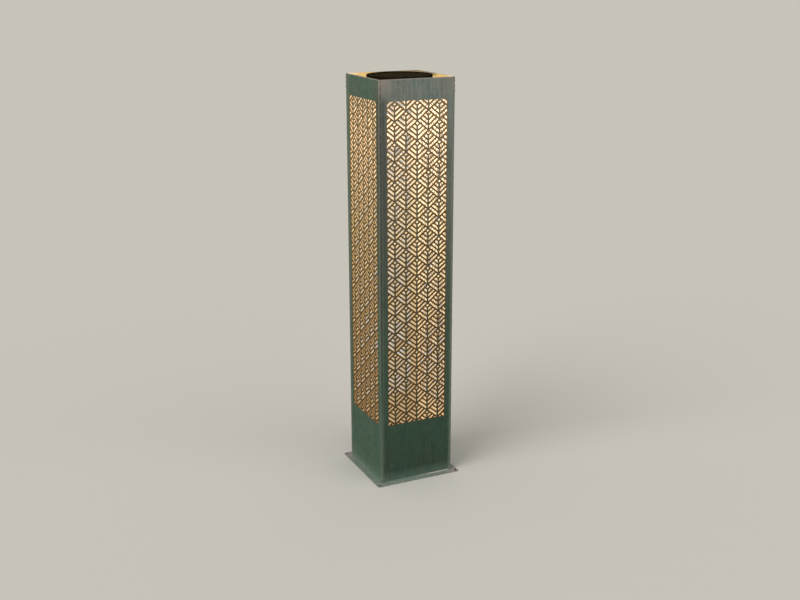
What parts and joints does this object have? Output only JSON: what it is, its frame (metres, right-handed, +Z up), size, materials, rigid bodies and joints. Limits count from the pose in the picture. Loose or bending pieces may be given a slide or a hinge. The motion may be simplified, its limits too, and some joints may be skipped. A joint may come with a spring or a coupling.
{
  "type": "lantern floor lamp",
  "caption": "Square column lantern of pierced sheet steel with a green patina, on a bolted foot plate, lit by a drop-in solar lamp in its open top.",
  "frame": {"origin": "centre of the foot plate's underside", "axes": "+Z up along the column; the front sheet faces -Y and the right sheet faces +X"},
  "size_m": [0.175, 0.175, 0.778],
  "materials": {
    "patina_steel": "green verdigris paint, brushed on in vertical strokes, matt, pale worn edges",
    "weld_steel": "painted weld bead, lumpy, worn to grey",
    "plain_steel": "plain bent strip",
    "black_plastic": "moulded black ABS, fine texture",
    "clear_window": "clear moulded window, slightly dusty",
    "silicon_cell": "dark silicon strips with fine silver lines",
    "cell_backing": "dark circuit board",
    "seal_rubber": "soft black seal",
    "screw_steel": "zinc plated",
    "battery_wrap": "shrink sleeve, plain",
    "contact_nickel": "nickel plated spring strip",
    "board_green": "green solder mask",
    "part_black": "moulded component bodies",
    "board_white": "white solder mask",
    "led_phosphor": "warm white phosphor, lit",
    "reflector_white": "glossy white moulding",
    "frosted_dome": "frosted dome, lit warm white",
    "switch_grey": "moulded switch case",
    "slider_white": "moulded slider",
    "lead_pvc": "thin PVC sleeve"
  },
  "bodies": {
    "column": {"front_sheet": "patina_steel", "right_sheet": "patina_steel", "back_sheet": "patina_steel", "left_sheet": "patina_steel", "corner_welds": "weld_steel", "foot_plate": "patina_steel", "foot_welds": "weld_steel", "hanger_tabs": "plain_steel"},
    "solar_lamp": {"bezel_ring": "black_plastic", "cell_window": "clear_window", "solar_cells": "silicon_cell", "cell_board": "cell_backing", "rim_seal": "seal_rubber", "lamp_housing": "black_plastic", "housing_screws": "screw_steel", "battery": "battery_wrap", "battery_contact_plus": "contact_nickel", "battery_contact_minus": "contact_nickel", "battery_seal": "seal_rubber", "battery_cover": "black_plastic", "battery_cover_screws": "screw_steel", "control_board": "board_green", "board_parts": "part_black", "board_screws": "screw_steel", "led_board": "board_white", "led_chips": "led_phosphor", "led_reflector": "reflector_white", "frosted_dome": "frosted_dome", "switch_case": "switch_grey", "lead_wires": "lead_pvc"},
    "switch_slider": {"switch_slider": "slider_white"}
  },
  "joints": [
    {"name": "lamp_lift", "type": "slide", "parent": "column", "child": "solar_lamp", "axis": [0, 0, 1], "range_m": [0, 0.06]},
    {"name": "switch_slide", "type": "slide", "parent": "solar_lamp", "child": "switch_slider", "axis": [1, 0, 0], "range_m": [-0.003, 0]}
  ]
}
